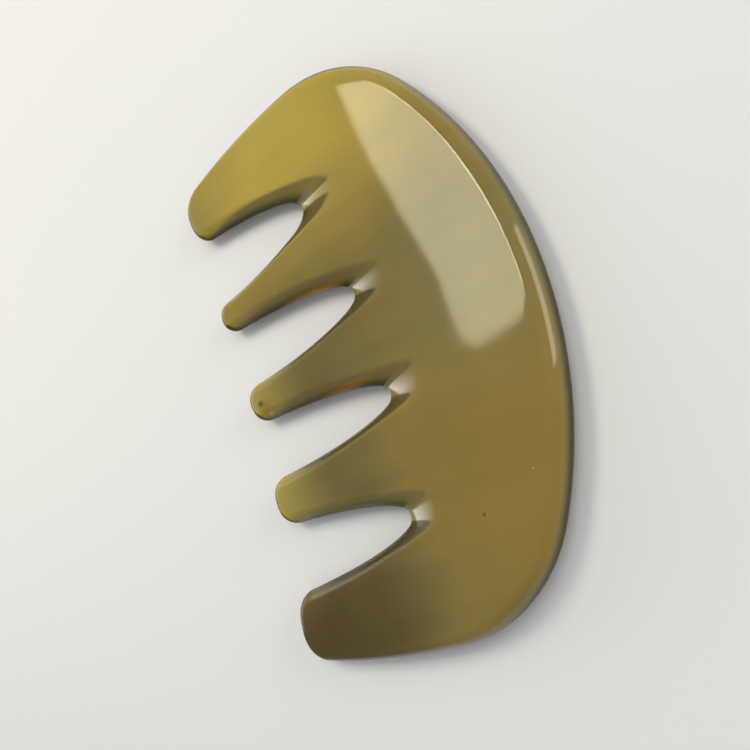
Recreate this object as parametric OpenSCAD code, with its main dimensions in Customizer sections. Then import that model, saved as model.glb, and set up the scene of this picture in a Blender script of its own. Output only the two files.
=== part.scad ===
// Scalp massage comb, ground from one plate of polished horn.
// It lies on its back: X runs from the tips to the spine, Y along the comb, Z up out of its front.
// A reach is a distance from the spine towards the tips, an off is a distance from the middle line.
// Lengths are in millimetres and angles in degrees.

/* [Plate] */
// Length of the comb, over its two shoulders
comb_len = 132; // [124:1:140]
// Thickness of the body
body_t = 8; // [7:0.5:10]
// Radius of the spine
spine_r = 93.3; // [90:0.1:98]
// Reach of the shoulders, where the comb is longest
shoulder_reach = 43.9; // [43:0.1:46]
// Radius of the long outer edges
side_r = 183; // [150:1:240]

/* [Gaps] */
// Reach of the first gap's root; teeth and gaps are counted from the +Y end
gap_1_reach = 49.6; // [47:0.1:52]
// Off of the first gap's root
gap_1_off = 37.8; // [37:0.1:38.6]
// Half of the first gap's full width
gap_1_half = 9.6; // [9:0.1:10]
// Length over which the first gap widens
gap_1_bow = 46; // [43:1:50]
// Reach of the second gap's root
gap_2_reach = 43; // [40:0.1:46]
// Off of the second gap's root
gap_2_off = 12.2; // [11.6:0.1:12.8]
// Half of the second gap's full width
gap_2_half = 7.7; // [7:0.1:8]
// Length over which the second gap widens
gap_2_bow = 43; // [41:1:48]
// Reach of the third gap's root
gap_3_reach = 42.1; // [39:0.1:45]
// Off of the third gap's root
gap_3_off = 12.4; // [11.8:0.1:13]
// Half of the third gap's full width
gap_3_half = 7.2; // [6.6:0.1:7.5]
// Length over which the third gap widens
gap_3_bow = 47; // [44:1:52]
// Reach of the fourth gap's root
gap_4_reach = 47; // [45:0.1:50]
// Off of the fourth gap's root
gap_4_off = 38.3; // [37.5:0.1:39]
// Half of the fourth gap's full width
gap_4_half = 8.8; // [8.2:0.1:9.2]
// Length over which the fourth gap widens
gap_4_bow = 64; // [60:1:68]
// Radius of the gaps' round roots
root_r = 2.3; // [2.2:0.1:2.6]

/* [Teeth] */
// Reach of the first tooth, in the middle of its end
tooth_1_reach = 86.2; // [84.5:0.1:89]
// Reach of the second tooth
tooth_2_reach = 84.2; // [81:0.1:86]
// Reach of the middle tooth
tooth_3_reach = 82.3; // [80:0.1:86]
// Reach of the fourth tooth
tooth_4_reach = 82.8; // [80:0.1:86]
// Reach of the fifth tooth, in the middle of its end
tooth_5_reach = 85.8; // [84.5:0.1:89]
// Length of the round end of a tooth
tip_len = 5.2; // [4.5:0.1:6]
// Thickness of the teeth at their tips
tip_t = 4.2; // [3:0.1:5.5]

/* [Grooves] */
// Length of the groove filed behind the first root over both faces, on its side towards the middle line
groove_1_in = 10.6; // [9:0.1:13]
// Length of the first groove on its outer side
groove_1_out = 12.2; // [10:0.1:14]
// Length of the groove behind the second root, on its side towards the middle line
groove_2_in = 8; // [7:0.1:10]
// Length of the second groove on its outer side
groove_2_out = 11.8; // [10:0.1:14]
// Length of the groove behind the third root, on its side towards the middle line
groove_3_in = 11.8; // [9:0.1:13]
// Length of the third groove on its outer side
groove_3_out = 7.4; // [6:0.1:10]
// Length of the groove behind the fourth root, on its side towards the middle line
groove_4_in = 8.6; // [7:0.1:11]
// Length of the fourth groove on its outer side
groove_4_out = 7.2; // [6:0.1:10]

/* [Finish] */
// How far the round edge of the spine reaches in over the faces
rim_round = 3.4; // [2.5:0.1:4.6]
// How far the round edges inside the gaps reach in
wall_round = 2.8; // [2.2:0.1:3.2]
// How far the round ends of the teeth reach in
end_round = 2.4; // [1.8:0.1:3]
// Reach at which the front starts to thin down
taper_reach = 28; // [20:1:36]
// Reach at which the back leaves the surface that the comb lies on
rest_reach = 50; // [46:1:56]

/* [Hidden] */

// A gap's row of numbers: LEAN is the angle by which it leans towards the middle line, GROOVE_IN and
// GROOVE_OUT are its groove's lengths on the two sides, and SLANT is how much the groove turns that way
ROOT_REACH = 0;
ROOT_OFF = 1;
HALF_WIDTH = 2;
BOW_LEN = 3;
LEAN = 4;
GROOVE_IN = 5;
GROOVE_OUT = 6;
SLANT = 7;
GAP_1 = [gap_1_reach, gap_1_off, gap_1_half, gap_1_bow, -0.3, groove_1_in, groove_1_out, 0.15];
GAP_2 = [gap_2_reach, gap_2_off, gap_2_half, gap_2_bow, -0.7, groove_2_in, groove_2_out, 0.13];
GAP_3 = [gap_3_reach, gap_3_off, gap_3_half, gap_3_bow, 0.7, groove_3_in, groove_3_out, -0.03];
GAP_4 = [gap_4_reach, gap_4_off, gap_4_half, gap_4_bow, -0.1, groove_4_in, groove_4_out, 0];

// How many stations a tooth's side, its round end and each root have
side_n = 13;
end_n = 4;
outer_end_n = 5;
inner_root_n = 14;
outer_root_n = 16;

// Angles round the edge, from the rim at its middle to the start of the face, and steps over the face
EDGE_STEPS = [0, 20, 42, 66, 90];
FACE_STEPS = [0.5, 1];
ring_n = len(EDGE_STEPS) + len(FACE_STEPS);

// The bone is an arc inside the body that the faces are meshed in to from the edges
bone_depth = 16;
next_bone_off = 25;
outer_bone_off = 50;
// How evenly a side's face slides from the tip to the bone, and how late the rest follows
inner_slide = 0.6;
outer_slide = 0.8;
slide_power = 5;

// A round edge's numbers: how far it reaches in over a face, and 1 for a plain oval, less for a
// squarer one, more for a flatter one
RIM = [rim_round, 1];
WALL = [wall_round, 1.3];
TOOTH_END = [end_round, 0.8];
OUTER_SIDE = [2.2, 0.9];

// The back is ground flat by back_stock and lifts by back_rise under the tips
back_stock = 0.15;
back_rise = 1.2;
thin_power = 1.5;

// How far a groove's flare runs into its gap, and how it fades
groove_fade = 5;
fade_power = 1.3;
// A groove's floor is between a scoop that runs out flat on the face, 1, and a straight ramp, 2
scoop = 1.5;
// Bluntness of a tooth's end
end_power = 2 / 2.4;
// An outer tooth's end is a little longer, and runs out by this much towards its outer side
outer_end_extra = 1;
end_slant = 0.7;

function mix(a, b, t) = a + (b - a) * t;
function across(p) = [p[0], -p[1]];
function flip(st) = [across(st[0]), across(st[1]), across(st[2]), across(st[3]), st[4]];
function reversed(list) = [for (i = [len(list) - 1 : -1 : 0]) list[i]];
function unit(v) = v / norm(v);

bone_r = spine_r - bone_depth;
function bone_at(a) = [spine_r - bone_r * cos(a), bone_r * sin(a)];
middle_a = 0;
next_a = asin(next_bone_off / bone_r);
outer_a = asin(outer_bone_off / bone_r);

// Outline of the body: spine, corner and long side are arcs that run on into one another
half_len = comb_len / 2;
corner_r = (pow(spine_r, 2) - pow(spine_r - shoulder_reach, 2) - pow(half_len, 2))
    / (2 * (spine_r - half_len));
corner_c = [shoulder_reach, half_len - corner_r];
corner_a = atan2(corner_c[1], spine_r - corner_c[0]);
corner_part = corner_r * (90 - corner_a);
spine_part = spine_r * corner_a;
corner_share = corner_part / (corner_part + spine_part);
// A point of that outline, and the way in from it
function out_way(a) = [-cos(a), sin(a)];
function on_corner(a) = [corner_c + corner_r * out_way(a), -out_way(a)];
function on_spine(a) = [[spine_r, 0] + spine_r * out_way(a), -out_way(a)];
function on_rim(t) = t < corner_share
    ? on_corner(mix(90, corner_a, t / corner_share))
    : on_spine(corner_a * (1 - t) / (1 - corner_share));
function on_side(reach) = let (
        run = reach - shoulder_reach,
        out = [run, sqrt(pow(side_r, 2) - pow(run, 2))] / side_r
    ) [[shoulder_reach, half_len - side_r] + side_r * out, -out];

// A gap is half an ellipse whose narrow end is rounded off by a circle that touches its sides
function gap_flat(g) = pow(g[HALF_WIDTH] / g[BOW_LEN], 2);
function touch_a(g) = asin(sqrt((pow(root_r / g[HALF_WIDTH], 2) - gap_flat(g)) / (1 - gap_flat(g))));
function touch_s(g) = g[BOW_LEN] * (1 - cos(touch_a(g)));
function root_s(g) = touch_s(g) + g[BOW_LEN] * gap_flat(g) * cos(touch_a(g));
function gap_half(g, s) = g[HALF_WIDTH] * sqrt(1 - pow(1 - s / g[BOW_LEN], 2));
function leaned(g, v) = [
    v[0] * cos(g[LEAN]) + v[1] * sin(g[LEAN]),
    v[1] * cos(g[LEAN]) - v[0] * sin(g[LEAN])
];
function depth(g, s) = s - root_s(g) + root_r;
function in_gap(g, s, w) = [g[ROOT_REACH], g[ROOT_OFF]] + leaned(g, [depth(g, s), w]);
function mouth_s(g, reach) = (reach - g[ROOT_REACH]) / cos(g[LEAN]) + root_s(g) - root_r;
function side_point(g, side, reach) = let (s = mouth_s(g, reach)) in_gap(g, s, side * gap_half(g, s));

// The groove's run over the face from a point beside or behind the root, from side -1, towards the
// middle line, to side 1
function groove_run(g, s, side) =
    mix(g[GROOVE_IN], g[GROOVE_OUT], (1 + side) / 2)
    * exp(-pow(depth(g, s) / groove_fade, fade_power)) * [-1, -g[SLANT]];
NO_GROOVE = [0, 0];

// A station is a point on the outline, the way in over the face, its groove's run, the point on a bone
// that it faces, and how square the edge is
function slide(tip, bone, even, t) = mix(tip, bone, even * t + (1 - even) * pow(t, slide_power));
function side_slope(g, s) = gap_flat(g) * (g[BOW_LEN] - s) / gap_half(g, s);
function gap_side(g, side, reach, tip, bone, even) = [
    for (k = [0 : side_n])
        let (t = k / side_n, s = mix(mouth_s(g, reach), touch_s(g), t)) [
            in_gap(g, s, side * gap_half(g, s)),
            leaned(g, unit([-side_slope(g, s), side])) * WALL[0],
            groove_run(g, s, side),
            slide(tip, bone, even, t),
            WALL[1]
        ]
];
function gap_root(g, n, bone_a, bone_b) = let (a = asin(gap_half(g, touch_s(g)) / root_r)) [
    for (k = [1 : n - 1])
        let (b = mix(-a, a, k / n), s = root_s(g) - root_r * cos(b)) [
            in_gap(g, s, root_r * sin(b)),
            leaned(g, [-cos(b), sin(b)]) * WALL[0],
            groove_run(g, s, sin(b) / sin(a)),
            bone_at(mix(bone_a, bone_b, k / n)),
            WALL[1]
        ]
];
function outer_side(start, tip) = [
    for (k = [0 : side_n])
        let (
            t = k / side_n,
            edge = on_side(mix(start, shoulder_reach, t)),
            finish = mix(OUTER_SIDE, RIM, t)
        )
        [edge[0], edge[1] * finish[0], NO_GROOVE, slide(tip, bone_at(outer_a), outer_slide, t), finish[1]]
];
function rim_run(a, b, n) = [
    for (k = [1 : n])
        let (angle = mix(a, b, k / n), edge = on_rim(1 - angle / outer_a))
        [edge[0], edge[1] * RIM[0], NO_GROOVE, bone_at(angle), RIM[1]]
];

// The end of a tooth is two quarters of a superellipse that meet in its peak
function quarter(a, corner, peak, n) = [
    for (k = [1 : n - 1])
        let (t = 90 * k / n)
        mix(a, corner, pow(sin(t), end_power)) + mix(peak, corner, pow(cos(t), end_power)) - corner
];
function end_stations(line, tip, last) = let (n = len(line) + 1) [
    for (k = [1 : n - 1])
        let (t = k / n, finish = mix(mix(WALL, last, t), TOOTH_END, sin(180 * t)), p = line[k - 1])
        [p, unit(tip - p) * finish[0], NO_GROOVE, tip, finish[1]]
];
function tooth_end(a, corners, b, tip, n, last) = let (peak = (corners[0] + corners[1]) / 2)
    end_stations(concat(
        quarter(a, corners[0], peak, n),
        [peak],
        reversed(quarter(b, corners[1], peak, n))
    ), tip, last);
function second_half(list) = [for (i = [floor(len(list) / 2) : len(list) - 1]) list[i]];

// The teeth and gaps from the middle line out to the long side, and back along the spine
function half_comb(inner, outer, middle_peak, next_peak, outer_peak) = let (
    middle_reach = middle_peak - tip_len,
    next_reach = next_peak - tip_len,
    outer_reach = outer_peak - tip_len - outer_end_extra,
    middle_low = side_point(inner, -1, middle_reach),
    next_low = side_point(inner, 1, next_reach),
    next_high = side_point(outer, -1, next_reach),
    outer_low = side_point(outer, 1, outer_reach),
    outer_high = on_side(outer_reach)[0],
    middle_tip = [middle_reach, 0],
    next_tip = (next_low + next_high) / 2,
    outer_tip = (outer_low + outer_high) / 2,
    middle_corner = side_point(inner, -1, middle_peak),
    middle_corners = [across(middle_corner), middle_corner],
    next_corners = [side_point(inner, 1, next_peak), side_point(outer, -1, next_peak)],
    outer_corners = [
        side_point(outer, 1, outer_peak - end_slant),
        on_side(outer_peak + end_slant)[0]
    ]
) concat(
    second_half(tooth_end(across(middle_low), middle_corners, middle_low, middle_tip, end_n, WALL)),
    gap_side(inner, -1, middle_reach, middle_tip, bone_at(middle_a), inner_slide),
    gap_root(inner, inner_root_n, middle_a, next_a),
    reversed(gap_side(inner, 1, next_reach, next_tip, bone_at(next_a), inner_slide)),
    tooth_end(next_low, next_corners, next_high, next_tip, end_n, WALL),
    gap_side(outer, -1, next_reach, next_tip, bone_at(next_a), inner_slide),
    gap_root(outer, outer_root_n, next_a, outer_a),
    reversed(gap_side(outer, 1, outer_reach, outer_tip, bone_at(outer_a), outer_slide)),
    tooth_end(outer_low, outer_corners, outer_high, outer_tip, outer_end_n, OUTER_SIDE),
    outer_side(outer_reach, outer_tip),
    rim_run(outer_a, next_a, outer_root_n),
    rim_run(next_a, middle_a, inner_root_n)
);
first_half = half_comb(GAP_2, GAP_1, tooth_3_reach, tooth_2_reach, tooth_1_reach);
last_half = half_comb(GAP_3, GAP_4, tooth_3_reach, tooth_4_reach, tooth_5_reach);
stations = concat(first_half, [for (i = [len(last_half) - 2 : -1 : 1]) flip(last_half[i])]);
loop_n = len(stations);
comb_width = max([for (st = stations) st[0][0]]);

// The front thins from the body on, and the back lifts under the teeth
longest_reach = max(tooth_1_reach, tooth_5_reach);
thin_len = longest_reach - taper_reach;
lift_len = longest_reach - rest_reach;
function front_z(reach) = body_t
    - (body_t - tip_t - back_rise) * pow(max(0, reach - taper_reach) / thin_len, thin_power);
function back_z(reach) = back_rise * pow(max(0, reach - rest_reach) / lift_len, thin_power) - back_stock;

// Point of a station on a ring: the first rings go round the edge, the last ones cross the face
function ring_rise(st, ring) = ring < len(EDGE_STEPS) ? pow(sin(EDGE_STEPS[ring]), st[4]) : 1;
function ring_over(st, ring) = ring < len(EDGE_STEPS) ? 1 - pow(cos(EDGE_STEPS[ring]), st[4]) : 1;
function ramp(rise) = 1 - pow(max(0, 1 - pow(rise, 2 / scoop)), scoop / 2);
function ring_spot(st, ring) =
    let (p = st[0] + st[1] * ring_over(st, ring) + st[2] * ramp(ring_rise(st, ring)))
    ring < len(EDGE_STEPS) ? p : mix(p, st[3], FACE_STEPS[ring - len(EDGE_STEPS)]);
function ring_point(st, ring, is_front) = let (
        p = ring_spot(st, ring),
        middle = (front_z(p[0]) + back_z(p[0])) / 2,
        face = is_front ? front_z(p[0]) : back_z(p[0])
    ) [comb_width / 2 - p[0], p[1], mix(middle, face, ring_rise(st, ring))];

points = concat(
    [for (ring = [0 : ring_n - 1]) for (st = stations) ring_point(st, ring, true)],
    [for (ring = [1 : ring_n - 1]) for (st = stations) ring_point(st, ring, false)]
);
function front_i(ring, i) = ring * loop_n + i % loop_n;
function back_i(ring, i) = ring == 0 ? i % loop_n : (ring_n - 1 + ring) * loop_n + i % loop_n;
function has_area(t) =
    points[t[0]] != points[t[1]] && points[t[1]] != points[t[2]] && points[t[2]] != points[t[0]];
faces = [
    for (ring = [0 : ring_n - 2]) for (i = [0 : loop_n - 1])
        for (t = [
            [front_i(ring, i), front_i(ring, i + 1), front_i(ring + 1, i + 1)],
            [front_i(ring, i), front_i(ring + 1, i + 1), front_i(ring + 1, i)],
            [back_i(ring, i), back_i(ring + 1, i + 1), back_i(ring, i + 1)],
            [back_i(ring, i), back_i(ring + 1, i), back_i(ring + 1, i + 1)]
        ])
            if (has_area(t)) t
];

module comb() {
    color("#8a7a3a")
        difference() {
            polyhedron(points, faces, convexity = 10);
            translate([-comb_len, -comb_len, -body_t])
                cube([2 * comb_len, 2 * comb_len, body_t]);
        }
}

comb();
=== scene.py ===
import math
from collections import namedtuple

import bmesh
import bpy
from mathutils import Matrix, Vector


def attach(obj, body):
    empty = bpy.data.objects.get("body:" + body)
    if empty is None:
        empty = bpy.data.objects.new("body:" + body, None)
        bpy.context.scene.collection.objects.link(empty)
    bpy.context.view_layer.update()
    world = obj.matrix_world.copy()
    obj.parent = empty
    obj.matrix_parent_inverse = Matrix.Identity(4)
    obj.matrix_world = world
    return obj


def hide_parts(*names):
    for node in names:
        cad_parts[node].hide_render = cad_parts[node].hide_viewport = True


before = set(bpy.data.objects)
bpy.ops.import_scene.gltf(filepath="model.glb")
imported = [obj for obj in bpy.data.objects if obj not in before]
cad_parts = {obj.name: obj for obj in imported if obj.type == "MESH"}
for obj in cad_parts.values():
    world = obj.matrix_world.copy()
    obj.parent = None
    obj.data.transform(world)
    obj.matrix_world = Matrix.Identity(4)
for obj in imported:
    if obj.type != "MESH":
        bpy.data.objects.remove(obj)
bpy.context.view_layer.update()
mm = 0.001


# The comb's own sizes in mm, the same as its solid has. It is cut by hand, so no two gaps are quite alike.
# A reach runs from the spine towards the tips, an off runs out from the middle line. Teeth and gaps are
# counted from the +Y end.
plate = {
    "length": 132,
    "thickness": 8,
    "spineRadius": 93.3,
    "shoulderReach": 43.9,  # where the comb is longest
    "sideRadius": 183,      # of the long outer edges
}
# Each with its root, half of its full width, the bow over which it widens to that, and how much it leans in
# towards the middle line
gaps = [
    {"rootReach": 49.6, "rootOff": 37.8, "half": 9.6, "bow": 46, "lean": math.radians(-0.3)},
    {"rootReach": 43, "rootOff": 12.2, "half": 7.7, "bow": 43, "lean": math.radians(-0.7)},
    {"rootReach": 42.1, "rootOff": 12.4, "half": 7.2, "bow": 47, "lean": math.radians(0.7)},
    {"rootReach": 47, "rootOff": 38.3, "half": 8.8, "bow": 64, "lean": math.radians(-0.1)},
]
teeth = {
    "reaches": [86.2, 84.2, 82.3, 82.8, 85.8],
    "endLength": 5.2,
    "outerEndExtra": 1,     # an outer tooth's end is a little longer
    "endSlant": 0.7,        # and runs out by this much towards its outer side
    "endPower": 2 / 2.4,    # bluntness of the ends
    "tipThickness": 4.2,
}
# A round edge's numbers are how far it reaches in over a face, and 1 for a plain oval, less for a squarer
# one, more for a flatter one
grinding = {
    "rootRadius": 2.3,
    "rim": (3.4, 1),
    "wall": (2.8, 1.3),         # inside the gaps
    "toothEnd": (2.4, 0.8),
    "outerSide": (2.2, 0.9),    # of the outer teeth, at their tips
    "taperReach": 28,           # the front thins from here
    "restReach": 50,            # the back lifts from here
    "backStock": 0.15,          # what the flat back is ground off by
    "backRise": 1.2,            # how far the back lifts under the tips
    "thinPower": 1.5,           # 1 thins and lifts evenly, more starts more gently
    "boneDepth": 16,            # how deep in from the spine the bone runs, the line that the faces meet in
    "nextBoneOff": 25,          # its points behind the teeth beside the middle one
    "outerBoneOff": 50,         # and behind the outer teeth
    "innerSlide": 0.6,          # how evenly the point that a side faces slides from the tip to the bone
    "outerSlide": 0.8,
    "slidePower": 5,            # how late the rest of that way follows
}
# Behind each root a file has cut a groove into both faces, which runs out towards the spine
grooves = {
    # Lengths on the side towards the middle line and on the other side
    "lengths": [(10.6, 12.2), (8, 11.8), (11.8, 7.4), (8.6, 7.2)],
    "slants": [0.15, 0.13, -0.03, 0],   # how much each turns in towards the middle line
    "fade": 5,                          # how far a groove's flare runs into the gap
    "fadePower": 1.3,                   # more keeps its full length further in
    "scoop": 1.5,                       # 1 leaves the edge steeply and runs out flat, 2 is a straight ramp
}
# The edges get a painted dark shade, the gap walls beside the roots a painted shade of their own, and the
# gaps and the teeth's ends keep a dull skin. All are full on an edge's middle line and end on the faces,
# and reach further in where they are multiplied.
paintedShadeAndDull = {
    "end": 20,          # how many times more of the painted dark edge shade a tooth's end has
    "endFocus": 3,      # how closely that keeps to the end's middle
    "endDull": 12,      # how many times the dull skin an end has
    "side": 5,          # how many times more of the painted dark edge shade there is where it faces the +Y end
    "sideFocus": 6,     # how closely that keeps to the stretch that faces it squarely
    "backPower": 3,     # 1 makes the edge's back half like its front half, more takes the painted shade further in
    "wallFrom": 0.5,    # where painted wall shade and dull skin start on a root's arc, from 0 in its middle to 1 at its sides
    "wallFull": 0.7,    # and where it is full
}
# Steps of the mesh along the outline, round the edges and over the faces
meshSteps = {
    "side": 36,
    "end": 9,
    "outerEnd": 11,
    "innerRoot": 40,
    "outerRoot": 44,
    "edge": 13,
    "face": 8,
}
weldDistance = 0.002    # mm, points that are closer than this become one
acrossMiddle = Vector((1, -1))
noGroove = Vector((0, 0))


def mix(a, b, t):
    return a + (b - a) * t


# A station is a point on the outline with all that shapes the edge there: the way in over the face and how
# far, the groove's run, the point on the bone that it faces, how square the edge is, and its shares of
# painted rim shade, painted wall shade and dull skin
Station = namedtuple("Station", "outline inward groove bone square rim wall dull")


def mirrored(station):
    return station._replace(outline=station.outline * acrossMiddle, inward=station.inward * acrossMiddle,
                            groove=station.groove * acrossMiddle, bone=station.bone * acrossMiddle)


boneRadius = plate["spineRadius"] - grinding["boneDepth"]
nextAngle = math.asin(grinding["nextBoneOff"] / boneRadius)
outerAngle = math.asin(grinding["outerBoneOff"] / boneRadius)


def boneAt(angle):
    return Vector((plate["spineRadius"] - boneRadius * math.cos(angle), boneRadius * math.sin(angle)))


# Body: the spine, the corner and the long side are arcs that run on into one another
halfLength = plate["length"] / 2
spineRadius = plate["spineRadius"]
shoulderReach = plate["shoulderReach"]
pastShoulder = spineRadius - shoulderReach
cornerRadius = (spineRadius**2 - pastShoulder**2 - halfLength**2) / (2 * (spineRadius - halfLength))
cornerCentre = Vector((shoulderReach, halfLength - cornerRadius))
cornerAngle = math.atan2(cornerCentre.y, pastShoulder)
cornerPart = cornerRadius * (math.pi / 2 - cornerAngle)
cornerShare = cornerPart / (cornerPart + spineRadius * cornerAngle)


# A point of the body's outline, from 0 at the shoulder to 1 in the spine's middle, and the way in from it
def onRim(t):
    if t < cornerShare:
        angle = mix(math.pi / 2, cornerAngle, t / cornerShare)
        outward = Vector((-math.cos(angle), math.sin(angle)))
        return cornerCentre + cornerRadius * outward, -outward
    angle = cornerAngle * (1 - t) / (1 - cornerShare)
    outward = Vector((-math.cos(angle), math.sin(angle)))
    return Vector((spineRadius, 0)) + spineRadius * outward, -outward


def onSide(reach):
    radius = plate["sideRadius"]
    outward = Vector((reach - shoulderReach, math.sqrt(radius**2 - (reach - shoulderReach)**2))) / radius
    return Vector((shoulderReach, halfLength - radius)) + radius * outward, -outward


# A gap is half an ellipse whose narrow end is rounded off by a circle. Its sizes are how far from the
# ellipse's end that circle touches the sides, and where its centre lies.
def gapSizes(gap):
    flat = (gap["half"] / gap["bow"])**2
    touchAngle = math.asin(math.sqrt(((grinding["rootRadius"] / gap["half"])**2 - flat) / (1 - flat)))
    touch = gap["bow"] * (1 - math.cos(touchAngle))
    return touch, touch + gap["bow"] * flat * math.cos(touchAngle)


def gapHalf(gap, along):
    return gap["half"] * math.sqrt(1 - (1 - along / gap["bow"])**2)


def leaned(gap, way):
    cosine, sine = math.cos(gap["lean"]), math.sin(gap["lean"])
    return Vector((way.x * cosine + way.y * sine, way.y * cosine - way.x * sine))


def inGap(gap, along, across):
    forward = along - gapSizes(gap)[1] + grinding["rootRadius"]
    return Vector((gap["rootReach"], gap["rootOff"])) + leaned(gap, Vector((forward, across)))


def alongAt(gap, reach):
    return (reach - gap["rootReach"]) / math.cos(gap["lean"]) + gapSizes(gap)[1] - grinding["rootRadius"]


def sidePoint(gap, side, reach):
    along = alongAt(gap, reach)
    return inGap(gap, along, side * gapHalf(gap, along))


# Which way and how far the groove runs, from side -1, towards the middle line, to side 1
def grooveRun(groove, gap, along, side):
    depth = along - gapSizes(gap)[1] + grinding["rootRadius"]
    lengths, slant = groove
    length = mix(*lengths, (1 + side) / 2)
    return length * math.exp(-(depth / grooves["fade"])**grooves["fadePower"]) * Vector((-1, -slant))


# The point that a side faces goes an even share of the way from the tip to the bone, and the rest late
def slide(tip, bone, even, t):
    return mix(tip, bone, even * t + (1 - even) * t**grinding["slidePower"])


def gapSide(gap, groove, side, reach, tip, bone, even):
    length, square = grinding["wall"]
    stations = []
    for k in range(meshSteps["side"] + 1):
        t = k / meshSteps["side"]
        along = mix(alongAt(gap, reach), gapSizes(gap)[0], t)
        slope = (gap["half"] / gap["bow"])**2 * (gap["bow"] - along) / gapHalf(gap, along)
        inward = leaned(gap, Vector((-slope, side)).normalized()) * length
        outline = inGap(gap, along, side * gapHalf(gap, along))
        run = grooveRun(groove, gap, along, side)
        # A side has a full share of painted rim shade, and painted wall shade and dull skin that grow towards
        # the root
        stations.append(Station(outline, inward, run, slide(tip, bone, even, t), square, 1, t, t))
    return stations


def gapRoot(gap, groove, steps, boneStart, boneEnd):
    length, square = grinding["wall"]
    touch, root = gapSizes(gap)
    radius = grinding["rootRadius"]
    widest = math.asin(gapHalf(gap, touch) / radius)
    stations = []
    for k in range(1, steps):
        t = k / steps
        angle = mix(-widest, widest, t)
        along = root - radius * math.cos(angle)
        outline = inGap(gap, along, radius * math.sin(angle))
        inward = leaned(gap, Vector((-math.cos(angle), math.sin(angle)))) * length
        bone = boneAt(mix(boneStart, boneEnd, t))
        run = grooveRun(groove, gap, along, math.sin(angle) / math.sin(widest))
        # Painted wall shade and dull skin at the root's sides, none in its middle
        wall = (abs(2 * t - 1) - paintedShadeAndDull["wallFrom"]) / (paintedShadeAndDull["wallFull"] - paintedShadeAndDull["wallFrom"])
        wall = min(1, max(0, wall))
        stations.append(Station(outline, inward, run, bone, square, 0, wall, wall))
    return stations


def rimRun(start, end, steps):
    length, square = grinding["rim"]
    stations = []
    for k in range(1, steps + 1):
        angle = mix(start, end, k / steps)
        outline, inward = onRim(1 - angle / outerAngle)
        stations.append(Station(outline, inward * length, noGroove, boneAt(angle), square, 1, 0, 0))
    return stations


def longSide(start, tip):
    stations = []
    for k in range(meshSteps["side"] + 1):
        t = k / meshSteps["side"]
        outline, inward = onSide(mix(start, shoulderReach, t))
        length, square = mix(Vector(grinding["outerSide"]), Vector(grinding["rim"]), t)
        bone = slide(tip, boneAt(outerAngle), grinding["outerSlide"], t)
        stations.append(Station(outline, inward * length, noGroove, bone, square, 1, 0, 0))
    return stations


# The end of a tooth is two quarters of a superellipse that meet in its peak
def endQuarter(start, corner, peak, steps):
    points = []
    for k in range(1, steps):
        angle = math.pi / 2 * k / steps
        towardsPeak = 1 - math.sin(angle)**teeth["endPower"]
        towardsSide = 1 - math.cos(angle)**teeth["endPower"]
        points.append(corner + (start - corner) * towardsPeak + (peak - corner) * towardsSide)
    return points


def toothEnd(start, corners, end, tip, steps, lastEdge=grinding["wall"]):
    peak = (corners[0] + corners[1]) / 2
    line = endQuarter(start, corners[0], peak, steps) + [peak]
    line += endQuarter(end, corners[1], peak, steps)[::-1]
    stations = []
    for k, outline in enumerate(line, start=1):
        t = k / (len(line) + 1)
        middle = math.sin(math.pi * t)  # 1 in the end's middle, 0 where its sides start
        sideEdge = mix(Vector(grinding["wall"]), Vector(lastEdge), t)
        length, square = mix(sideEdge, Vector(grinding["toothEnd"]), middle)
        inward = (tip - outline).normalized() * length
        # The end's share of painted dark edge shade, strongest in its middle, and of dull skin
        rim = 1 + paintedShadeAndDull["end"] * middle**paintedShadeAndDull["endFocus"]
        dull = paintedShadeAndDull["endDull"] * middle
        stations.append(Station(outline, inward, noGroove, tip, square, rim, 0, dull))
    return stations


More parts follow.
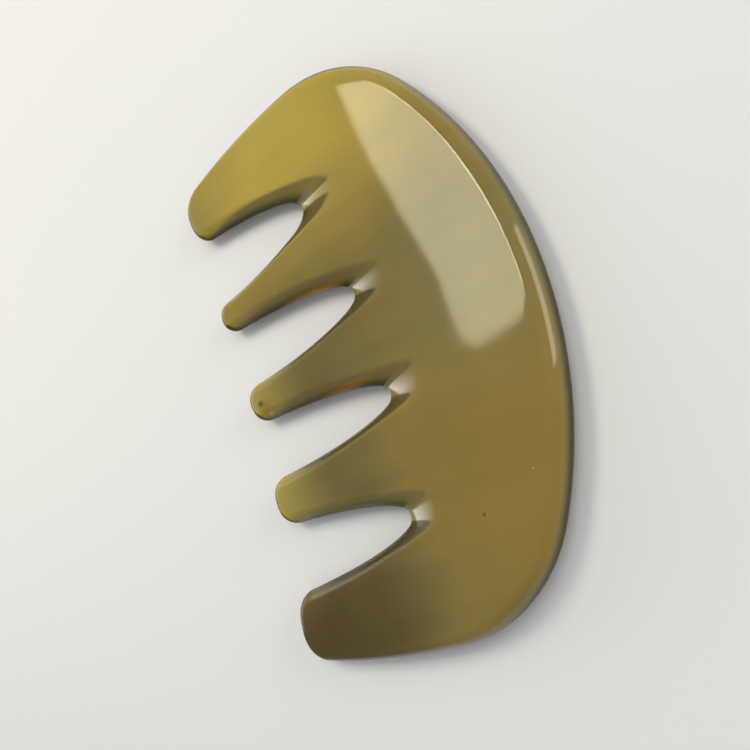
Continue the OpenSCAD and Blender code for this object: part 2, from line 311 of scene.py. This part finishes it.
# The teeth and gaps from the middle line out to the long side, and back along the spine
def halfComb(innerGap, innerGroove, outerGap, outerGroove, middlePeak, nextPeak, outerPeak):
    slant = teeth["endSlant"]
    middleReach = middlePeak - teeth["endLength"]
    nextReach = nextPeak - teeth["endLength"]
    outerReach = outerPeak - teeth["endLength"] - teeth["outerEndExtra"]
    middleLow = sidePoint(innerGap, -1, middleReach)
    nextLow, nextHigh = sidePoint(innerGap, 1, nextReach), sidePoint(outerGap, -1, nextReach)
    outerLow, outerHigh = sidePoint(outerGap, 1, outerReach), onSide(outerReach)[0]
    middleTip = Vector((middleReach, 0))
    nextTip = (nextLow + nextHigh) / 2
    outerTip = (outerLow + outerHigh) / 2
    middleCorner = sidePoint(innerGap, -1, middlePeak)
    middleCorners = [middleCorner * acrossMiddle, middleCorner]
    nextCorners = [sidePoint(innerGap, 1, nextPeak), sidePoint(outerGap, -1, nextPeak)]
    outerCorners = [sidePoint(outerGap, 1, outerPeak - slant), onSide(outerPeak + slant)[0]]
    even, outerEven = grinding["innerSlide"], grinding["outerSlide"]
    endSteps, outerEndSteps = meshSteps["end"], meshSteps["outerEnd"]

    middleEnd = toothEnd(middleLow * acrossMiddle, middleCorners, middleLow, middleTip, endSteps)
    half = middleEnd[len(middleEnd) // 2:]
    half += gapSide(innerGap, innerGroove, -1, middleReach, middleTip, boneAt(0), even)
    half += gapRoot(innerGap, innerGroove, meshSteps["innerRoot"], 0, nextAngle)
    half += gapSide(innerGap, innerGroove, 1, nextReach, nextTip, boneAt(nextAngle), even)[::-1]
    half += toothEnd(nextLow, nextCorners, nextHigh, nextTip, endSteps)
    half += gapSide(outerGap, outerGroove, -1, nextReach, nextTip, boneAt(nextAngle), even)
    half += gapRoot(outerGap, outerGroove, meshSteps["outerRoot"], nextAngle, outerAngle)
    half += gapSide(outerGap, outerGroove, 1, outerReach, outerTip, boneAt(outerAngle), outerEven)[::-1]
    half += toothEnd(outerLow, outerCorners, outerHigh, outerTip, outerEndSteps, grinding["outerSide"])
    half += longSide(outerReach, outerTip)
    half += rimRun(outerAngle, nextAngle, meshSteps["outerRoot"])
    return half + rimRun(nextAngle, 0, meshSteps["innerRoot"])


# The outer edge, which no groove reaches, gets painted dark shade further in on the side that faces the +Y
# end
def withPaintedSideShade(station):
    if station.dull > 0 or station.groove.length > 0:
        return station
    facing = max(0, -station.inward.normalized().y)**paintedShadeAndDull["sideFocus"]
    return station._replace(rim=station.rim * (1 + paintedShadeAndDull["side"] * facing))


def combStations():
    filed = list(zip(grooves["lengths"], grooves["slants"]))
    peaks = teeth["reaches"]
    first = halfComb(gaps[1], filed[1], gaps[0], filed[0], peaks[2], peaks[1], peaks[0])
    last = halfComb(gaps[2], filed[2], gaps[3], filed[3], peaks[2], peaks[3], peaks[4])
    outline = first + [mirrored(station) for station in last[-2:0:-1]]
    return [withPaintedSideShade(station) for station in outline]


longestReach = max(teeth["reaches"])


def frontHeight(reach):
    thinned = max(0, reach - grinding["taperReach"]) / (longestReach - grinding["taperReach"])
    drop = plate["thickness"] - teeth["tipThickness"] - grinding["backRise"]
    return plate["thickness"] - drop * thinned**grinding["thinPower"]


def backHeight(reach):
    lifted = max(0, reach - grinding["restReach"]) / (longestReach - grinding["restReach"])
    return grinding["backRise"] * lifted**grinding["thinPower"] - grinding["backStock"]


# How far along its run a groove's floor is at a rise, which is 0 on the edge's middle line and 1 on a face
def floorAt(rise):
    return 1 - max(0, 1 - rise**(2 / grooves["scoop"]))**(grooves["scoop"] / 2)


def makeComb():
    stations = combStations()
    width = max(station.outline.x for station in stations)
    mesh = bmesh.new()
    # Each shade is full on an edge's middle line and fades out towards the faces
    paintedRimShade = mesh.verts.layers.float.new("paintedRimShade")    # painted shade of the dark edge
    paintedWallShade = mesh.verts.layers.float.new("paintedWallShade")  # painted shade of the walls beside the roots
    dullShade = mesh.verts.layers.float.new("dullShade")  # of the skin that isn't buffed bright

    def addRing(angle, overFace, heightOf):
        # The painted dark edge shade reaches further in over the back half
        rimPower = paintedShadeAndDull["backPower"] if heightOf is backHeight else 1
        ring = []
        for station in stations:
            rise = math.sin(angle)**station.square
            over = 1 - max(0, math.cos(angle))**station.square
            spot = station.outline + station.inward * over + station.groove * floorAt(rise)
            spot = mix(spot, station.bone, overFace)
            middle = (frontHeight(spot.x) + backHeight(spot.x)) / 2
            height = max(0, mix(middle, heightOf(spot.x), rise))
            vert = mesh.verts.new(mm * Vector((width / 2 - spot.x, spot.y, height)))
            vert[paintedRimShade] = (1 - rise**rimPower) * station.rim
            vert[paintedWallShade] = (1 - rise) * station.wall
            vert[dullShade] = (1 - rise) * station.dull
            ring.append(vert)
        return ring

    # The rings go round the edge first, and then over the face to the bone
    rings = [(math.pi / 2 * k / meshSteps["edge"], 0) for k in range(1, meshSteps["edge"] + 1)]
    rings += [(math.pi / 2, k / meshSteps["face"]) for k in range(1, meshSteps["face"] + 1)]
    rim = addRing(0, 0, frontHeight)
    count = len(stations)
    for heightOf, flip in ((frontHeight, False), (backHeight, True)):
        last = rim
        for angle, overFace in rings:
            ring = addRing(angle, overFace, heightOf)
            for i in range(count):
                corners = [last[i], ring[i], ring[(i + 1) % count], last[(i + 1) % count]]
                mesh.faces.new(corners[::-1] if flip else corners)
            last = ring
    bmesh.ops.remove_doubles(mesh, verts=mesh.verts, dist=weldDistance * mm)
    bmesh.ops.recalc_face_normals(mesh, faces=mesh.faces)
    data = bpy.data.meshes.new("hornComb")
    mesh.to_mesh(data)
    mesh.free()
    data.shade_smooth()
    comb = bpy.data.objects.new("hornComb", data)
    bpy.context.scene.collection.objects.link(comb)
    return comb


def linearColour(hexCode):
    channels = [int(hexCode[i:i + 2], 16) / 255 for i in (1, 3, 5)]
    return [c / 12.92 if c <= 0.04045 else ((c + 0.055) / 1.055)**2.4 for c in channels] + [1]


def addNode(tree, kind, links=None, **settings):
    node = tree.nodes.new(kind)
    for name, value in settings.items():
        if name in ("inputs", "ramp"):
            continue
        setattr(node, name, value)
    for name, value in settings.get("inputs", {}).items():
        node.inputs[name].default_value = value
    if "ramp" in settings:
        ramp = node.color_ramp
        while len(ramp.elements) < len(settings["ramp"]):
            ramp.elements.new(0.5)
        for element, (position, hexCode) in zip(ramp.elements, settings["ramp"]):
            element.position = position
            element.color = linearColour(hexCode)
    for name, socket in (links or {}).items():
        tree.links.new(socket, node.inputs[name])
    return node


# Polished buffalo horn: keratin, IOR about 1.54, cloudy and translucent, so light soaks in and glows
# out of thin places, under a hand-buffed gloss. Growth streaks run along the teeth. The edges' lower
# halves and the teeth's ends are darkened with painted shade, and the gap walls get a browner painted
# shade and painted light by the way they face, and keep a duller skin.
hornLook = {
    "tones": [(0.34, "#7c7035"), (0.5, "#8c7f3d"), (0.66, "#9b8640")],  # deep olive, olive and amber
    "cloudSize": 38,                # mm, of the soft cloudy patches
    "cloudDetail": 2,               # octaves of noise
    "cloudRoughness": 0.45,         # less is softer
    "streakWidth": 7,               # mm, of the growth streaks
    "streakDetail": 3,              # octaves
    "streakSquash": 0.12,           # how much less they change along the teeth than across them
    "streakShare": 0.25,            # of streaks in the mottling, the rest is patches
    "mottleRange": (0.35, 0.65),    # of the mottling's own values
    "mottle": (0.93, 1.07),         # how much it darkens and lightens the clouds
    # painted shade of the dark edge
    "rim": "#35331a",
    "rimRange": (0.3, 0.9),         # painted rim shade from which the dark edge starts, and where it is full
    "rimStrength": 0.9,
    "wall": ("#4a4226", "#857b50"),     # painted shade on walls that face the +Y end, painted light on those that face the -Y end
    "wallTurn": 0.3,                # how far a wall has to face an end to have all of its tone
    "wallRange": (0.02, 0.1),       # painted wall shade, in the same way
    "wallStrength": 0.8,
    "gloss": 0.5,                   # specular level of the buffed faces, 0.5 is what the IOR gives
    "dullGloss": 0.04,              # of the dull skin and the dark edge
    "dullRange": (0, 0.16),         # dull shade from which the gloss goes, and where it has gone
    "rimDullRange": (0.6, 1),       # rim shade, in the same way
    "roughness": 0.05,
    "ior": 1.54,
    "waveSize": 26,                 # mm, of the hand-ground face's slow waves
    "waveHeight": 0.12,             # mm
    "polishWidth": 0.7,             # mm, coarser than the real buffing lines, so that they show
    "polishDetail": 2,              # octaves
    "polishLength": 25,             # times as long as wide
    "polishHeight": 0.002,          # mm
    "polishTurn": 12,               # degrees from the comb's width
    "transmission": 0.12,
    "glowDepth": 4,                 # mm, how far light travels inside
    "glowShares": (1, 0.8, 0.35),   # of that depth, for red, green and blue
}
spotFade = (0.1, 1.25)  # every spot below fades out between these parts of its half sizes
# Clouds in this plate: centre in mm, half sizes in mm, how strong, and their tone. In order: brown towards
# the last tooth, olive behind the middle teeth, amber at the first tooth, the middle teeth's pale tips, and
# four in the body. Besides the horn's own tone, the amber at the first tooth and the brown towards the last
# tooth carry painted light and painted shade, lighter towards the +Y end and darker towards the -Y end.
hornAndLightClouds = [
    {"at": (-36, -58), "size": (38, 26), "strength": 0.95, "tone": "#534304"},
    {"at": (-17, -18), "size": (16, 26), "strength": 0.55, "tone": "#6d652e"},
    {"at": (-8, 56), "size": (52, 34), "strength": 0.85, "tone": "#ceb850"},
    {"at": (-42, -12), "size": (20, 38), "strength": 0.9, "tone": "#c4b45a"},
    {"at": (28, 2), "size": (22, 28), "strength": 0.7, "tone": "#928b54"},
    {"at": (13, 4), "size": (13, 11), "strength": 0.35, "tone": "#a89050"},
    {"at": (15, -28), "size": (17, 12), "strength": 0.4, "tone": "#75682f"},
    {"at": (26, -42), "size": (32, 34), "strength": 0.75, "tone": "#a48d3f"},
]
# An inclusion in the middle tooth's end, its dark core and its pale streak
inclusion = [
    {"at": (-33.2, -2.8), "size": (2.8, 2.8), "strength": 0.75, "tone": "#9a7824"},
    {"at": (-34.6, -0.8), "size": (1.2, 1), "strength": 0.9, "tone": "#6b470c"},
    {"at": (-32.8, -4), "size": (1.3, 0.6), "strength": 0.85, "tone": "#dabc5c"},
]
# Two dark specks, and two tiny pits that the polish has filled
specks = [
    {"at": (-18.8, 20.6), "size": (0.45, 0.45), "strength": 0.8, "tone": "#3a2a10"},
    {"at": (15.6, -43.4), "size": (0.5, 0.5), "strength": 0.7, "tone": "#4a3510"},
    {"at": (37.6, -34.2), "size": (0.3, 0.3), "strength": 0.8, "tone": "#d8cfa0"},
    {"at": (28.6, -38.4), "size": (0.25, 0.25), "strength": 0.7, "tone": "#d8cfa0"},
]
# Where light that soaks into a tooth comes out of its wall's thin lower edge, warm as honey
wallGlows = [
    {"at": (-10.5, 17.2), "size": (11, 1.1), "turn": -9, "strength": 0.8, "tone": "#d0952f"},
    {"at": (-9, -7.2), "size": (9, 1), "turn": -4, "strength": 0.6, "tone": "#c98d2d"},
]
# A shallow hollow that the grinding has left beside the middle, which bends what the face mirrors
hollow = {"at": (27, -15), "size": (12, 15), "depth": 0.12}
# Across it the buffing lines are coarser
scuffs = {"at": (27, -14.5), "size": (17, 5), "turn": 8, "height": 0.005}


# A soft ball, drawn out to the spot's sizes, in which the middle value fades to the outside one
def softSpot(tree, place, spot, middle, outside):
    ball = addNode(tree, "ShaderNodeMapping", {"Vector": place.outputs["Object"]}, inputs={
        "Location": (spot["at"][0] * mm, spot["at"][1] * mm, 0),
        "Rotation": (0, 0, math.radians(spot.get("turn", 0))),
        "Scale": (spot["size"][0] * mm, spot["size"][1] * mm, 1),
    }, vector_type="TEXTURE")
    reach = addNode(tree, "ShaderNodeVectorMath", {"Vector": ball.outputs["Vector"]}, operation="LENGTH")
    start, end = spotFade
    fade = addNode(tree, "ShaderNodeMapRange", {"Value": reach.outputs["Value"]},
                   interpolation_type="SMOOTHSTEP",
                   inputs={"From Min": start, "From Max": end, "To Min": middle, "To Max": outside})
    return fade.outputs["Result"]


def clouded(tree, place, colour, clouds):
    for cloud in clouds:
        factor = softSpot(tree, place, cloud, cloud["strength"], 0)
        mixed = addNode(tree, "ShaderNodeMix", {"Factor": factor, "A": colour}, data_type="RGBA",
                        inputs={"B": linearColour(cloud["tone"])})
        colour = mixed.outputs["Result"]
    return colour


# One of the mesh's shades, faded in over its range
def edgeFade(tree, layer, span, strength):
    shade = addNode(tree, "ShaderNodeAttribute", attribute_name=layer)
    fade = addNode(tree, "ShaderNodeMapRange", {"Value": shade.outputs["Fac"]},
                   interpolation_type="SMOOTHSTEP",
                   inputs={"From Min": span[0], "From Max": span[1], "To Min": 0, "To Max": strength})
    return fade.outputs["Result"]


# Patches and streaks of the growth, the plate's own clouds over them, and all inclusions
def faceColour(tree, place, look):
    patches = addNode(tree, "ShaderNodeTexNoise", {"Vector": place.outputs["Object"]}, inputs={
        "Scale": 1 / (look["cloudSize"] * mm),
        "Detail": look["cloudDetail"],
        "Roughness": look["cloudRoughness"],
    })
    stretched = addNode(tree, "ShaderNodeMapping", {"Vector": place.outputs["Object"]},
                        inputs={"Scale": (look["streakSquash"], 1, 1)})
    streaks = addNode(tree, "ShaderNodeTexNoise", {"Vector": stretched.outputs["Vector"]},
                      inputs={"Scale": 1 / (look["streakWidth"] * mm), "Detail": look["streakDetail"]})
    blended = addNode(tree, "ShaderNodeMix", {"A": patches.outputs["Fac"], "B": streaks.outputs["Fac"]},
                      inputs={"Factor": look["streakShare"]})
    tone = addNode(tree, "ShaderNodeValToRGB", {"Fac": blended.outputs["Result"]}, ramp=look["tones"])
    colour = clouded(tree, place, tone.outputs["Color"], hornAndLightClouds + inclusion + specks)
    (low, high), (darkest, palest) = look["mottleRange"], look["mottle"]
    mottle = addNode(tree, "ShaderNodeMapRange", {"Value": blended.outputs["Result"]},
                     inputs={"From Min": low, "From Max": high, "To Min": darkest, "To Max": palest})
    mottled = addNode(tree, "ShaderNodeVectorMath", {0: colour, "Scale": mottle.outputs["Result"]},
                      operation="SCALE")
    return mottled.outputs["Vector"]


# The gap walls' painted shade and light over the face's colour, the painted dark edge shade over those,
# and the painted glow that comes out of two walls
def hornColour(tree, place, look):
    # Walls that face the +Y end get the painted shade tone, those that face the -Y end the painted light one
    facing = addNode(tree, "ShaderNodeSeparateXYZ", {"Vector": place.outputs["Normal"]})
    side = addNode(tree, "ShaderNodeMapRange", {"Value": facing.outputs["Y"]},
                   inputs={"From Min": look["wallTurn"], "From Max": -look["wallTurn"]})
    wall = addNode(tree, "ShaderNodeMix", {"Factor": side.outputs["Result"]}, data_type="RGBA",
                   inputs={"A": linearColour(look["wall"][0]), "B": linearColour(look["wall"][1])})
    walled = addNode(tree, "ShaderNodeMix", data_type="RGBA", links={
        "Factor": edgeFade(tree, "paintedWallShade", look["wallRange"], look["wallStrength"]),
        "A": faceColour(tree, place, look),
        "B": wall.outputs["Result"],
    })
    # painted dark shade on the edges
    rimFade = edgeFade(tree, "paintedRimShade", look["rimRange"], look["rimStrength"])
    rimmed = addNode(tree, "ShaderNodeMix", {"Factor": rimFade, "A": walled.outputs["Result"]},
                     data_type="RGBA", inputs={"B": linearColour(look["rim"])})
    return clouded(tree, place, rimmed.outputs["Result"], wallGlows)


# The gloss goes where the skin is dull and where the edge has its painted dark shade
def hornGloss(tree, look):
    unbuffed = edgeFade(tree, "dullShade", look["dullRange"], 1)
    paintedEdgeShade = edgeFade(tree, "paintedRimShade", look["rimDullRange"], 1)
    dull = addNode(tree, "ShaderNodeMath", {0: unbuffed, 1: paintedEdgeShade}, operation="MAXIMUM")
    gloss = addNode(tree, "ShaderNodeMapRange", {"Value": dull.outputs["Value"]},
                    inputs={"To Min": look["gloss"], "To Max": look["dullGloss"]})
    return gloss.outputs["Result"]


# Slow waves of the grinding, the hollow in them, and the fine lines of the buffing on top
def polishedNormal(tree, place, look):
    waves = addNode(tree, "ShaderNodeTexNoise", {"Vector": place.outputs["Object"]},
                    inputs={"Scale": 1 / (look["waveSize"] * mm), "Detail": 0})
    waved = addNode(tree, "ShaderNodeBump", {"Height": waves.outputs["Fac"]},
                    inputs={"Strength": 1, "Distance": look["waveHeight"] * mm})
    sunken = softSpot(tree, place, hollow, 0, 1)
    hollowed = addNode(tree, "ShaderNodeBump", {"Height": sunken, "Normal": waved.outputs["Normal"]},
                       inputs={"Strength": 1, "Distance": hollow["depth"] * mm})
    buffed = addNode(tree, "ShaderNodeMapping", {"Vector": place.outputs["Object"]}, vector_type="TEXTURE",
                     inputs={"Rotation": (0, 0, math.radians(look["polishTurn"])),
                             "Scale": (look["polishLength"], 1, 1)})
    lines = addNode(tree, "ShaderNodeTexNoise", {"Vector": buffed.outputs["Vector"]},
                    inputs={"Scale": 1 / (look["polishWidth"] * mm), "Detail": look["polishDetail"]})
    polished = addNode(tree, "ShaderNodeBump", inputs={"Strength": 1}, links={
        "Height": lines.outputs["Fac"],
        "Distance": softSpot(tree, place, scuffs, scuffs["height"] * mm, look["polishHeight"] * mm),
        "Normal": hollowed.outputs["Normal"],
    })
    return polished.outputs["Normal"]


def makeHorn(look):
    material = bpy.data.materials.new("polishedHorn")
    material.use_nodes = True
    tree = material.node_tree
    tree.nodes.clear()
    place = addNode(tree, "ShaderNodeTexCoord")
    sockets = {
        "Base Color": hornColour(tree, place, look),
        "Specular IOR Level": hornGloss(tree, look),
        "Normal": polishedNormal(tree, place, look),
    }
    horn = addNode(tree, "ShaderNodeBsdfPrincipled", sockets, inputs={
        "Roughness": look["roughness"],
        "IOR": look["ior"],
        "Transmission Weight": look["transmission"],
        "Subsurface Weight": 1,
        "Subsurface Radius": look["glowShares"],
        "Subsurface Scale": look["glowDepth"] * mm,
    })
    addNode(tree, "ShaderNodeOutputMaterial", {"Surface": horn.outputs["BSDF"]})
    return material


print("comb: meshing the ground plate")
comb = makeComb()
print("comb: mixing the polished horn")
comb.data.materials.append(makeHorn(hornLook))
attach(comb, "root")
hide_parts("comb")


# A plain pale table top: matt laminate, pressed flat, so it takes soft shadows and mirrors next to nothing
tableLook = {
    "colour": "#f2f3f7",
    "roughness": 0.6,
    "size": 6,          # metres
    "gap": 0.2,         # mm, by which it lies clear of the comb's flat back
}


def makeTable(look):
    material = bpy.data.materials.new("mattLaminate")
    material.use_nodes = True
    shader = material.node_tree.nodes["Principled BSDF"]
    shader.inputs["Base Color"].default_value = linearColour(look["colour"])
    shader.inputs["Roughness"].default_value = look["roughness"]
    mesh = bmesh.new()
    bmesh.ops.create_grid(mesh, x_segments=1, y_segments=1, size=look["size"] / 2)
    data = bpy.data.meshes.new("table")
    mesh.to_mesh(data)
    mesh.free()
    data.materials.append(material)
    table = bpy.data.objects.new("table", data)
    table.location.z = -look["gap"] * mm
    bpy.context.scene.collection.objects.link(table)


# Studio: where each soft light stands, in metres, what it faces, its turn in degrees, its sides and its
# power in watts. The window's two panes make the big reflection and its bright edge, the key light is a
# fill that the polish doesn't mirror, and the rim light draws the pale line along the spine.
lights = {
    "windowLight": {
        "at": (-0.2363, 0.3539, 0.6),
        "faces": (-0.2363, 0.3539, 0),
        "turn": 8.7,
        "sides": (0.13, 0.39),
        "power": 0.84,
        "colour": "#fff8d2",
        "mirrored": True,
    },
    "glintLight": {
        "at": (-0.1394, 0.3687, 0.6),
        "faces": (-0.1394, 0.3687, 0),
        "turn": 8.7,
        "sides": (0.06, 0.39),
        "power": 0.86,
        "colour": "#fff8d2",
        "mirrored": True,
    },
    "keyLight": {
        "at": (0.35, 0.35, 0.9),
        "faces": (0, 0, 0),
        "turn": 0,
        "sides": (0.6, 0.6),
        "power": 2.1,
        "colour": "#ffffff",
        "mirrored": False,
    },
    "rimLight": {
        "at": (0.99, 0.15, 0.26),
        "faces": (0, 0, 0),
        "turn": 0,
        "sides": (0.62, 0.5),
        "power": 3.3,
        "colour": "#fffdf0",
        "mirrored": True,
    },
}


def makeLights():
    for name, settings in lights.items():
        data = bpy.data.lights.new(name, "AREA")
        data.shape = "RECTANGLE"
        data.size, data.size_y = settings["sides"]
        data.energy = settings["power"]
        data.color = linearColour(settings["colour"])[:3]
        lamp = bpy.data.objects.new(name, data)
        lamp.visible_glossy = settings["mirrored"]
        direction = Vector(settings["faces"]) - Vector(settings["at"])
        aimed = direction.to_track_quat("-Z", "Y").to_matrix()
        turned = aimed @ Matrix.Rotation(math.radians(settings["turn"]), 3, "Z")
        lamp.matrix_world = Matrix.Translation(settings["at"]) @ turned.to_4x4()
        bpy.context.scene.collection.objects.link(lamp)


# The room is evenly grey, with a bright side that the grooves' floors mirror. Its angles run from the -X
# direction towards +Y, and up from the horizon, and each edge fades over its own range.
room = {
    "glow": 0.38,
    "brightGlow": 4.3,
    "from": (-4, 1),
    "to": (24, 44),
    "above": (6, 36),
}


def makeRoom(settings):
    world = bpy.data.worlds.new("room")
    world.use_nodes = True
    tree = world.node_tree
    way = addNode(tree, "ShaderNodeTexCoord")
    parts = addNode(tree, "ShaderNodeSeparateXYZ", {"Vector": way.outputs["Generated"]})
    ahead = addNode(tree, "ShaderNodeMath", {0: parts.outputs["X"]}, operation="MULTIPLY", inputs={1: -1})
    turn = addNode(tree, "ShaderNodeMath", {0: parts.outputs["Y"], 1: ahead.outputs["Value"]},
                   operation="ARCTAN2")
    height = addNode(tree, "ShaderNodeMath", {0: parts.outputs["Z"]}, operation="ARCSINE")
    edges = [(turn, settings["from"], 0, 1), (turn, settings["to"], 1, 0), (height, settings["above"], 1, 0)]
    fades = []
    for angle, span, before, past in edges:
        start, end = (math.radians(degrees) for degrees in span)
        fade = addNode(tree, "ShaderNodeMapRange", {"Value": angle.outputs["Value"]},
                       interpolation_type="SMOOTHSTEP",
                       inputs={"From Min": start, "From Max": end, "To Min": before, "To Max": past})
        fades.append(fade.outputs["Result"])
    sideways = addNode(tree, "ShaderNodeMath", {0: fades[0], 1: fades[1]}, operation="MULTIPLY")
    bright = addNode(tree, "ShaderNodeMath", {0: sideways.outputs["Value"], 1: fades[2]},
                     operation="MULTIPLY")
    strength = addNode(tree, "ShaderNodeMapRange", {"Value": bright.outputs["Value"]},
                       inputs={"To Min": settings["glow"], "To Max": settings["brightGlow"]})
    background = tree.nodes["Background"]
    background.inputs["Color"].default_value = linearColour("#ffffff")
    tree.links.new(strength.outputs["Result"], background.inputs["Strength"])
    bpy.context.scene.world = world


# The camera's place in metres, its right, up and back directions, and its lens in pixels of the frame
cameraSetup = {
    "at": (0.08999, -0.04906, 0.13626),
    "right": (0.73871, -0.29946, -0.60385),
    "up": (0.39068, 0.92028, 0.02154),
    "back": (0.54926, -0.25182, 0.79681),
    "lensPixels": 759,
    "framePixels": 750,
    "sensorWidth": 36,      # mm
    "nearest": 0.01,        # metres
}


def makeCamera(setup):
    data = bpy.data.cameras.new("camera")
    data.sensor_width = setup["sensorWidth"]
    data.lens = data.sensor_width * setup["lensPixels"] / setup["framePixels"]
    data.clip_start = setup["nearest"]
    camera = bpy.data.objects.new("camera", data)
    axes = Matrix([setup["right"], setup["up"], setup["back"]]).transposed()
    camera.matrix_world = Matrix.Translation(setup["at"]) @ axes.to_4x4()
    bpy.context.scene.collection.objects.link(camera)
    bpy.context.scene.camera = camera


print("studio: table, lights, room and camera")
makeTable(tableLook)
makeLights()
makeRoom(room)
makeCamera(cameraSetup)
bpy.context.scene.view_settings.view_transform = "Standard"
